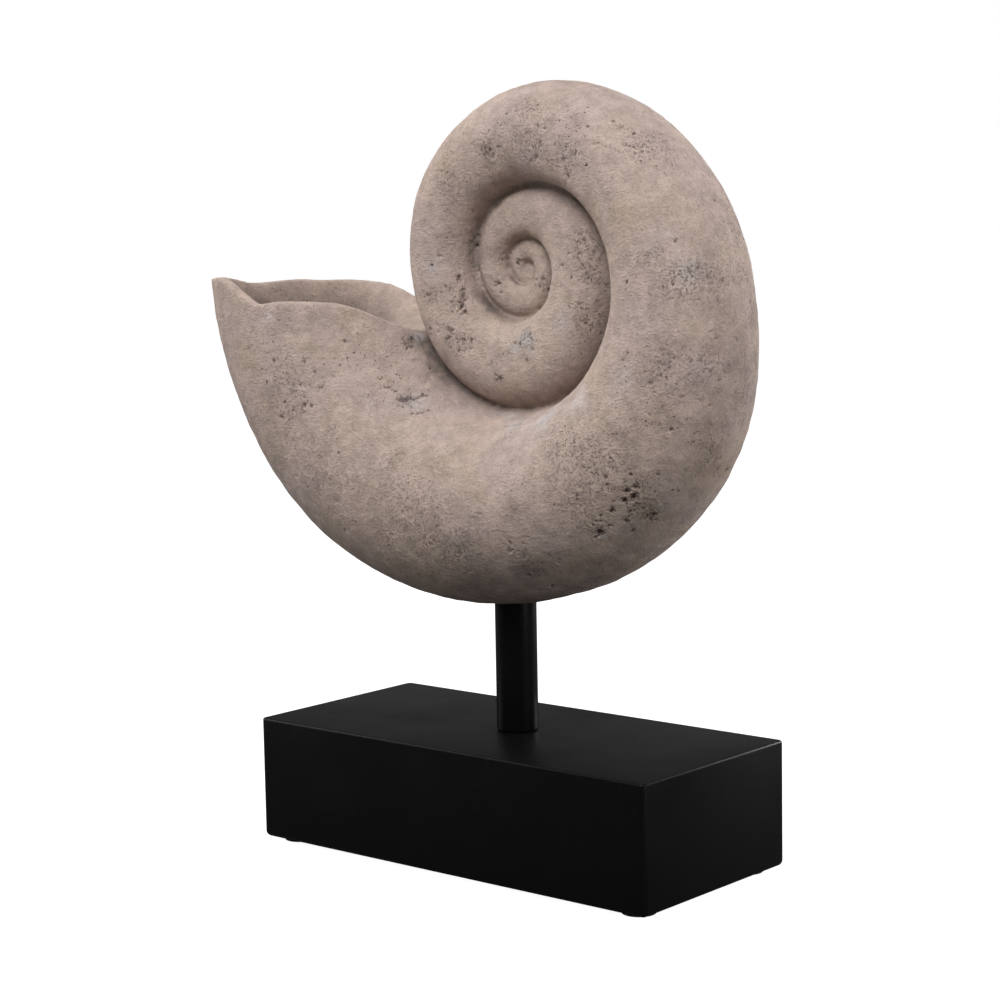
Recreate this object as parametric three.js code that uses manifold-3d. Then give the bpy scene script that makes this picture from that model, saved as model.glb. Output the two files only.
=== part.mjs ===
// A cast-stone spiral sea shell on a round rod and a long painted block.
// Millimetres, +Z up, the block's long side along X, the open mouth towards -X.

import * as THREE from 'three';
import Module from 'manifold-3d';
import { mergeVertices } from 'three/addons/utils/BufferGeometryUtils.js';
import { RoundedBoxGeometry } from 'three/addons/geometries/RoundedBoxGeometry.js';

const wasm = await Module();
wasm.setup();

// Gap left between pieces that touch.
const gap = 0.3;

// Foot pads.
const padDiameter = 16;
const padHeight = 2;
const padInset = 13;

// Block.
const blockLength = 237;
const blockDepth = 109.4;
const blockHeight = 60;
const blockCornerRadius = 1.8;

// Rod.
const rodDiameter = 20;
const rodX = 2.0;
const rodIntoShell = 40;

// Screw that pulls the rod down onto the block, its washer, and their recess.
const screwDiameter = 8;
const screwHeadDiameter = 13;
const screwHeadHeight = 8;
const screwKeyAcrossFlats = 6;
const screwKeyDepth = 4;
const screwIntoRod = 22;
const washerDiameter = 22;
const washerThickness = 2;
const recessDiameter = 26;
const recessDepth = 14;

// Shell: the pole is the axis that the whorls wind about, measured from the block's middle and underside.
const poleX = 17.3;
const poleHeight = 280.7;
const whorlOverlap = 0.9;
const pointsRoundWhorl = 32;
const stepsPerTurn = 30;
const innermostTurn = -3.5;
const turnsPerSegment = 0.9;
const budRadius = 4.5;
const budHalfWidth = 4.5;

// Stations along the spiral. Turn 0 is the mouth and the turns count back from it;
// rim is the distance from the pole to the outer edge, half is the half width.
const stations = [
  { turn: -3.5, rim: 5.3, half: 4.6 },
  { turn: -3.0, rim: 10.8, half: 6.4 },
  { turn: -2.5, rim: 19.3, half: 9.0 },
  { turn: -2.0, rim: 28.8, half: 11.4 },
  { turn: -1.75, rim: 38.6, half: 14.2 },
  { turn: -1.5, rim: 59.0, half: 19.0 },
  { turn: -1.25, rim: 65.8, half: 21.8 },
  { turn: -1.0, rim: 69.4, half: 21.8 },
  { turn: -0.75, rim: 84.7, half: 25.5 },
  { turn: -0.5, rim: 113.3, half: 33.8 },
  { turn: -0.375, rim: 138.2, half: 43.0 },
  { turn: -0.25, rim: 157.6, half: 52.0 },
  { turn: -0.125, rim: 182.3, half: 56.0 },
  { turn: 0.0, rim: 199.5, half: 52.3 },
];

// How far the lip stands below the level of the pole, round the mouth in degrees:
// 0 is the outer edge, 90 the front side, 180 the side next to the coil, 270 the back side.
const lipDrops = [
  { angle: 0, drop: 8 },
  { angle: 22, drop: 5 },
  { angle: 45, drop: 5 },
  { angle: 58, drop: 3.9 },
  { angle: 66, drop: 5 },
  { angle: 74, drop: 8.2 },
  { angle: 82, drop: 12.2 },
  { angle: 88, drop: 16.2 },
  { angle: 92, drop: 16.6 },
  { angle: 98, drop: 15.5 },
  { angle: 120, drop: 15.4 },
  { angle: 132, drop: 17.2 },
  { angle: 145, drop: 21.4 },
  { angle: 160, drop: 26.4 },
  { angle: 178, drop: 30 },
  { angle: 200, drop: 27.5 },
  { angle: 228, drop: 25 },
  { angle: 245, drop: 21.6 },
  { angle: 258, drop: 17.3 },
  { angle: 270, drop: 12.2 },
  { angle: 280, drop: 9.4 },
  { angle: 292, drop: 8.4 },
  { angle: 322, drop: 7.2 },
  { angle: 335, drop: 7.8 },
  { angle: 360, drop: 8 },
];
const lipBlendTurns = 0.16;
const lipBlendSteps = 6;

// Hollow of the mouth.
const wallAtRim = 9;
const wallAtSides = 4;
const wallAtCoil = 12;
const coilRamp = 46;
const coilRampTurns = 0.02;
const lipRounding = 1.6;
const hollowTurns = 0.15;
const hollowSteps = 10;
const hollowEndShare = 0.3;

// ---------------------------------------------------------------- colours

const castStone = new THREE.MeshStandardMaterial({ color: 0xa89c90, roughness: 0.92, metalness: 0 });
const blackPaint = new THREE.MeshStandardMaterial({ color: 0x0b0b0c, roughness: 0.42, metalness: 0 });
const blackMetal = new THREE.MeshStandardMaterial({ color: 0x0c0c0d, roughness: 0.4, metalness: 0.3 });
const zincSteel = new THREE.MeshStandardMaterial({ color: 0x9a9ca0, roughness: 0.35, metalness: 1 });
const padRubber = new THREE.MeshStandardMaterial({ color: 0x111112, roughness: 0.85, metalness: 0 });

// ---------------------------------------------------------------- joining and cutting

function toManifold(geometry) {
  const bare = geometry.clone();
  bare.deleteAttribute('normal');
  bare.deleteAttribute('uv');
  const merged = mergeVertices(bare, 1e-4);
  return new wasm.Manifold(new wasm.Mesh({
    numProp: 3,
    vertProperties: new Float32Array(merged.attributes.position.array),
    triVerts: new Uint32Array(merged.index.array),
  }));
}

function toGeometry(solid) {
  const mesh = solid.getMesh();
  const geometry = new THREE.BufferGeometry();
  geometry.setAttribute('position', new THREE.BufferAttribute(new Float32Array(mesh.vertProperties), 3));
  geometry.setIndex(new THREE.BufferAttribute(new Uint32Array(mesh.triVerts), 1));
  geometry.computeVertexNormals();
  return geometry;
}

// An upright cylinder between two heights.
function uprightCylinder(diameter, bottom, top, sides) {
  const cylinder = new THREE.CylinderGeometry(diameter / 2, diameter / 2, top - bottom, sides);
  cylinder.rotateX(Math.PI / 2);
  cylinder.translate(0, 0, (bottom + top) / 2);
  return cylinder;
}

function namedMesh(name, geometry, material, x, y, z) {
  const mesh = new THREE.Mesh(geometry, material);
  mesh.name = name;
  mesh.position.set(x, y, z);
  return mesh;
}

// ---------------------------------------------------------------- spiral

// A smooth value between rows of a table, each row with a place and a value.
function smoothBetween(rows, placeOf, valueOf, place) {
  const last = rows.length - 1;
  let i = 0;
  while (i < last - 1 && place > placeOf(rows[i + 1])) i += 1;
  const slopeAt = (k) => {
    const before = rows[Math.max(k - 1, 0)];
    const after = rows[Math.min(k + 1, last)];
    return (valueOf(after) - valueOf(before)) / (placeOf(after) - placeOf(before));
  };
  const span = placeOf(rows[i + 1]) - placeOf(rows[i]);
  const t = (place - placeOf(rows[i])) / span;
  const rise = t * t * (3 - 2 * t);
  const leave = t * (1 - t) * (1 - t) * span * slopeAt(i);
  const arrive = t * t * (t - 1) * span * slopeAt(i + 1);
  return valueOf(rows[i]) * (1 - rise) + valueOf(rows[i + 1]) * rise + leave + arrive;
}

function rimRadius(turn) {
  const first = stations[0];
  if (turn < first.turn) {
    const growthPerTurn = Math.log(stations[1].rim / first.rim) / (stations[1].turn - first.turn);
    return first.rim * Math.exp(growthPerTurn * (turn - first.turn));
  }
  return Math.exp(smoothBetween(stations, (s) => s.turn, (s) => Math.log(s.rim), turn));
}

function halfWidth(turn) {
  return Math.exp(smoothBetween(stations, (s) => s.turn, (s) => Math.log(s.half), turn));
}

// The whorl's oval at one turn: its middle, its half height away from the pole, and its half width.
function whorlOval(turn) {
  const outer = rimRadius(turn);
  const inner = whorlOverlap * rimRadius(turn - 1);
  return { middle: (outer + inner) / 2, reach: (outer - inner) / 2, half: halfWidth(turn) };
}

// The mouth (turn 0) faces left of the pole; turns before it run under the pole and round.
function pointAt(turn, radius, side) {
  const angle = Math.PI - 2 * Math.PI * turn;
  return new THREE.Vector3(radius * Math.cos(angle), -side, radius * Math.sin(angle));
}

function ovalRing(oval, turnOf) {
  const ring = [];
  for (let i = 0; i < pointsRoundWhorl; i += 1) {
    const round = (2 * Math.PI * i) / pointsRoundWhorl;
    const radius = oval.middle + oval.reach * Math.cos(round);
    ring.push(pointAt(turnOf(radius, round), radius, oval.half * Math.sin(round)));
  }
  return ring;
}

function whorlRing(turn) {
  return ovalRing(whorlOval(turn), () => turn);
}

// The turn at which the lip stands, a drop below the pole's level at this radius.
function lipTurn(radius, round, lower) {
  const degrees = THREE.MathUtils.radToDeg(round);
  const drop = smoothBetween(lipDrops, (s) => s.angle, (s) => s.drop, degrees) + lower;
  return -Math.asin(Math.min(drop / radius, 1)) / (2 * Math.PI);
}

// A closed solid from rings of points, with a fan over each end.
function solidFromRings(rings) {
  const count = rings[0].length;
  const positions = rings.flat().flatMap((p) => [p.x, p.y, p.z]);
  const index = [];
  for (let r = 0; r < rings.length - 1; r += 1) {
    for (let i = 0; i < count; i += 1) {
      const a = r * count + i;
      const b = r * count + ((i + 1) % count);
      index.push(a, b, a + count, b, b + count, a + count);
    }
  }
  const addFan = (ring, first, inwards) => {
    const hub = positions.length / 3;
    const centre = ring.reduce((sum, p) => sum.add(p), new THREE.Vector3()).divideScalar(count);
    positions.push(centre.x, centre.y, centre.z);
    for (let i = 0; i < count; i += 1) {
      const a = first + i;
      const b = first + ((i + 1) % count);
      if (inwards) index.push(hub, b, a);
      else index.push(hub, a, b);
    }
  };
  addFan(rings[0], 0, true);
  addFan(rings[rings.length - 1], (rings.length - 1) * count, false);
  const geometry = new THREE.BufferGeometry();
  geometry.setAttribute('position', new THREE.BufferAttribute(new Float32Array(positions), 3));
  geometry.setIndex(index);
  return geometry;
}

function plainRings(fromTurn, toTurn) {
  const steps = Math.max(2, Math.round((toTurn - fromTurn) * stepsPerTurn));
  const rings = [];
  for (let i = 0; i <= steps; i += 1) {
    rings.push(whorlRing(fromTurn + ((toTurn - fromTurn) * i) / steps));
  }
  return rings;
}

// The last stretch leans over from a flat ring to the uneven line of the lip.
function lipRings() {
  const rings = [];
  for (let i = 1; i <= lipBlendSteps; i += 1) {
    const share = i / lipBlendSteps;
    const oval = whorlOval(-lipBlendTurns * (1 - share));
    rings.push(ovalRing(oval, (radius, round) => {
      const atLip = lipTurn(radius, round, lipRounding);
      return THREE.MathUtils.lerp(-lipBlendTurns, atLip, share);
    }));
  }
  return rings;
}

// The oval of the hollow: the whorl's oval less its wall. Next to the coil the wall is thicker and
// slopes away inwards as a ramp, and the hollow narrows with it so that its sides keep their wall.
function hollowOval(turn, wallShare) {
  const whorl = whorlOval(turn);
  const rimWall = wallAtRim * wallShare;
  const ramp = coilRamp * Math.tanh(-turn / coilRampTurns);
  const coilWall = wallAtCoil * wallShare + ramp;
  const reach = whorl.reach - (coilWall + rimWall) / 2;
  return {
    middle: whorl.middle + (coilWall - rimWall) / 2,
    reach,
    half: (whorl.half - wallAtSides * wallShare) * Math.sqrt(reach / (whorl.reach - rimWall)),
  };
}

function hollowRings() {
  const crest = ovalRing(hollowOval(0, 0.5), (radius, round) => lipTurn(radius, round, 0));
  const rings = [crest];
  for (let i = 0; i <= hollowSteps; i += 1) {
    const share = i / hollowSteps;
    const oval = hollowOval(-hollowTurns * share, 1);
    const size = hollowEndShare + (1 - hollowEndShare) * Math.sqrt(1 - share ** 3);
    oval.reach *= size;
    oval.half *= size;
    rings.push(ovalRing(oval, (radius, round) => {
      const atLip = lipTurn(radius, round, lipRounding);
      return THREE.MathUtils.lerp(atLip, -hollowTurns, share);
    }));
  }
  return rings;
}

function shellSolid() {
  const segments = [];
  let from = innermostTurn;
  while (from + turnsPerSegment < -lipBlendTurns - turnsPerSegment / 2) {
    segments.push(solidFromRings(plainRings(from, from + turnsPerSegment)));
    from += turnsPerSegment;
  }
  const outerRings = plainRings(from, -lipBlendTurns).concat(lipRings(), hollowRings());
  segments.push(solidFromRings(outerRings));
  const bud = new THREE.SphereGeometry(budRadius, 20, 12);
  bud.scale(1, budHalfWidth / budRadius, 1);
  segments.push(bud);
  return segments.map(toManifold).reduce((whole, piece) => whole.add(piece));
}

// ---------------------------------------------------------------- pieces

const blockBottom = padHeight;
const blockTop = blockBottom + blockHeight;
const poleZ = blockBottom + poleHeight;
const shellWhole = shellSolid();
const shellBottom = poleZ + shellWhole.boundingBox().min[2];
const rodBottom = blockTop + gap;
const rodTop = shellBottom + rodIntoShell;
const recessTop = blockBottom + recessDepth;

function makeShell() {
  const socket = uprightCylinder(rodDiameter + 2 * gap, rodBottom, rodTop + gap, 48);
  socket.translate(rodX - poleX, 0, -poleZ);
  const shell = toGeometry(shellWhole.subtract(toManifold(socket)));
  return namedMesh('shell', shell, castStone, poleX, 0, poleZ);
}

function makeRod() {
  const body = uprightCylinder(rodDiameter, 0, rodTop - rodBottom, 48);
  const thread = uprightCylinder(screwDiameter + 2 * gap, -1, screwIntoRod + gap, 24);
  const rod = toGeometry(toManifold(body).subtract(toManifold(thread)));
  return namedMesh('rod', rod, blackMetal, rodX, 0, rodBottom);
}

function makeBlock() {
  const box = new RoundedBoxGeometry(blockLength, blockDepth, blockHeight, 2, blockCornerRadius);
  box.translate(0, 0, blockHeight / 2);
  const recess = uprightCylinder(recessDiameter, -1, recessDepth, 40);
  recess.translate(rodX, 0, 0);
  const hole = uprightCylinder(screwDiameter + 2 * gap, recessDepth - 1, blockHeight + 1, 24);
  hole.translate(rodX, 0, 0);
  const block = toManifold(box).subtract(toManifold(recess)).subtract(toManifold(hole));
  return namedMesh('base_block', toGeometry(block), blackPaint, 0, 0, blockBottom);
}

function makeWasher() {
  const disc = uprightCylinder(washerDiameter, 0, washerThickness, 32);
  const hole = uprightCylinder(screwDiameter + 2 * gap, -1, washerThickness + 1, 24);
  const washer = toGeometry(toManifold(disc).subtract(toManifold(hole)));
  return namedMesh('washer', washer, zincSteel, rodX, 0, recessTop - gap - washerThickness);
}

function makeScrew() {
  const headTop = recessTop - 2 * gap - washerThickness;
  const head = uprightCylinder(screwHeadDiameter, 0, screwHeadHeight, 32);
  const shank = uprightCylinder(screwDiameter, screwHeadHeight - 1, rodBottom + screwIntoRod - headTop
    + screwHeadHeight, 24);
  const key = uprightCylinder(screwKeyAcrossFlats / Math.cos(Math.PI / 6), -1, screwKeyDepth, 6);
  const screw = toManifold(head).add(toManifold(shank)).subtract(toManifold(key));
  return namedMesh('fixing_screw', toGeometry(screw), zincSteel, rodX, 0, headTop - screwHeadHeight);
}

function makePads() {
  const pads = [];
  const x = blockLength / 2 - padInset;
  const y = blockDepth / 2 - padInset;
  for (const [sideX, sideY] of [[-1, -1], [1, -1], [1, 1], [-1, 1]]) {
    const pad = uprightCylinder(padDiameter, 0, padHeight - gap, 32);
    const name = `foot_pad_${pads.length + 1}`;
    pads.push(namedMesh(name, pad, padRubber, sideX * x, sideY * y, 0));
  }
  return pads;
}

// ---------------------------------------------------------------- whole object

const statue = new THREE.Group();
statue.add(makeShell(), makeRod(), makeBlock(), makeWasher(), makeScrew(), ...makePads());

// The mouth overhangs the block, so the middle of the whole outline is brought over the origin.
statue.updateMatrixWorld(true);
const outline = new THREE.Box3().setFromObject(statue, true);
const middle = outline.getCenter(new THREE.Vector3());
statue.position.set(-middle.x, -middle.y, 0);

const object = new THREE.Group();
object.add(statue);

export default object;
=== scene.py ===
# A spiral shell cast in pitted stone, on a round black rod and a long black block.
import bpy
import math
import random
from mathutils import Matrix, Vector, noise
from mathutils.kdtree import KDTree


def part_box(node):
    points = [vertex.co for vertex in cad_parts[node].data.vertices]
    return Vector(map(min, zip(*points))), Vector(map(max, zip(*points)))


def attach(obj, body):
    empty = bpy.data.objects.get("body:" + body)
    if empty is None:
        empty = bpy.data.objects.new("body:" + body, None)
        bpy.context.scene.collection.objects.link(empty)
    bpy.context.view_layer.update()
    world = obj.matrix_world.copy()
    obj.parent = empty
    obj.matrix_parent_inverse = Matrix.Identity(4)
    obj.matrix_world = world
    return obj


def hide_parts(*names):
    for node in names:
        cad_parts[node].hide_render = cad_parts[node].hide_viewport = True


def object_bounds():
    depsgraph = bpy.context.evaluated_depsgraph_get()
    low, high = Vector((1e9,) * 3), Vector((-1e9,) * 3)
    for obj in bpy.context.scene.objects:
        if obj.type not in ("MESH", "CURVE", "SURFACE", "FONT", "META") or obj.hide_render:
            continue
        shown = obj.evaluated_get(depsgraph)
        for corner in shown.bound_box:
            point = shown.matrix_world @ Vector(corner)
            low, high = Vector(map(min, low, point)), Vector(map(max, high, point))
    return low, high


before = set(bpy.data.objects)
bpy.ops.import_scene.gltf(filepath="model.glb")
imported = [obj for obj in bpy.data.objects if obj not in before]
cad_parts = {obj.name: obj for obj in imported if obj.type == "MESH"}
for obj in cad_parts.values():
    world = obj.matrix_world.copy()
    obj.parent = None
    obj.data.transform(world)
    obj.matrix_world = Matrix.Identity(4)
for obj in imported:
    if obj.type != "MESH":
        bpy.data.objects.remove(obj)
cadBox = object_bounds()
nodeBox = {name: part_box(name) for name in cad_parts}
mm = 0.001  # sizes in the dictionaries are in millimetres, places round the room in metres


def middleOf(name):
    low, high = nodeBox[name]
    return (low + high) / 2


blockLow, blockHigh = nodeBox["base_block"]
rodMiddle = middleOf("rod")
rodLow, rodHigh = nodeBox["rod"]


def pickNothing():
    bpy.ops.object.select_all(action="DESELECT")


def startPiece(addPrimitive, name, **settings):
    pickNothing()
    addPrimitive(**settings)
    piece = bpy.context.object
    piece.name = name
    piece.data.name = name
    return piece


def pickPiece(piece):
    pickNothing()
    piece.select_set(True)
    bpy.context.view_layer.objects.active = piece


def applyPlace(piece):
    pickPiece(piece)
    bpy.ops.object.transform_apply(location=True, rotation=True, scale=True)


def openEdit(piece, selectMode="VERT"):
    pickPiece(piece)
    bpy.ops.object.mode_set(mode="EDIT")
    bpy.ops.mesh.select_mode(type=selectMode)


def closeEdit():
    bpy.ops.object.mode_set(mode="OBJECT")


# picks the faces or edges for which the test says yes
def pickParts(piece, kind, test):
    bpy.ops.object.mode_set(mode="EDIT")
    bpy.ops.mesh.select_mode(type=kind)
    bpy.ops.mesh.select_all(action="DESELECT")
    bpy.ops.object.mode_set(mode="OBJECT")
    mesh = piece.data
    if kind == "FACE":
        for face in mesh.polygons:
            face.select = test(face)
    else:
        for edge in mesh.edges:
            ends = [mesh.vertices[i].co for i in edge.vertices]
            edge.select = test(*ends)
    bpy.ops.object.mode_set(mode="EDIT")


def raiseFaces(height):
    bpy.ops.mesh.extrude_region_move(TRANSFORM_OT_translate={"value": (0, 0, height)})


def bevelEdges(piece, width, segments, test):
    pickParts(piece, "EDGE", test)
    bpy.ops.mesh.bevel(offset=width * mm, segments=segments, profile=0.5)
    closeEdit()


def runModifier(piece, kind, **settings):
    pickPiece(piece)
    bpy.ops.object.modifier_add(type=kind)
    modifier = piece.modifiers[-1]
    for key, value in settings.items():
        setattr(modifier, key, value)
    bpy.ops.object.modifier_apply(modifier=modifier.name)


def fixNormals(piece):
    openEdit(piece)
    bpy.ops.mesh.select_all(action="SELECT")
    bpy.ops.mesh.normals_make_consistent(inside=False)
    closeEdit()


def cutAway(piece, cutter):
    runModifier(piece, "BOOLEAN", operation="DIFFERENCE", object=cutter, solver="EXACT")
    bpy.data.objects.remove(cutter)


def flatDistance(point, middle):
    return math.hypot(point.x - middle.x, point.y - middle.y)


# shades a made piece, gives it its finish, hangs it on the root body and hides the cast node it replaces
def finishPiece(piece, node, finish):
    fixNormals(piece)
    pickPiece(piece)
    bpy.ops.object.shade_smooth_by_angle(angle=math.radians(35))
    piece.data.materials.append(finish)
    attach(piece, "root")
    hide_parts(node)


cameraPlace = {
    "azimuth": 40.20,    # round from the front, degrees
    "distance": 1.1407,  # along the floor from the block's middle
    "height": 0.3115,    # above the block's underside
    "yaw": 40.454,
    "pitch": 7.030,
    "roll": -1.034,
    "lens": 87.02,
}


def addCamera():
    place = cameraPlace
    data = bpy.data.cameras.new("camera")
    camera = bpy.data.objects.new("camera", data)
    bpy.context.scene.collection.objects.link(camera)
    data.lens = place["lens"]
    data.sensor_width = 36
    around = math.radians(place["azimuth"])
    blockMiddle = middleOf("base_block")
    camera.location = (
        blockMiddle.x + place["distance"] * math.sin(around),
        blockMiddle.y - place["distance"] * math.cos(around),
        blockLow.z + place["height"],
    )
    yaw, pitch, roll = (math.radians(place[k]) for k in ("yaw", "pitch", "roll"))
    turn = Matrix.Rotation(yaw, 4, "Z") @ Matrix.Rotation(math.pi / 2 - pitch, 4, "X")
    camera.rotation_euler = (turn @ Matrix.Rotation(roll, 4, "Z")).to_euler()
    bpy.context.scene.camera = camera
    print("camera placed")


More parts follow.
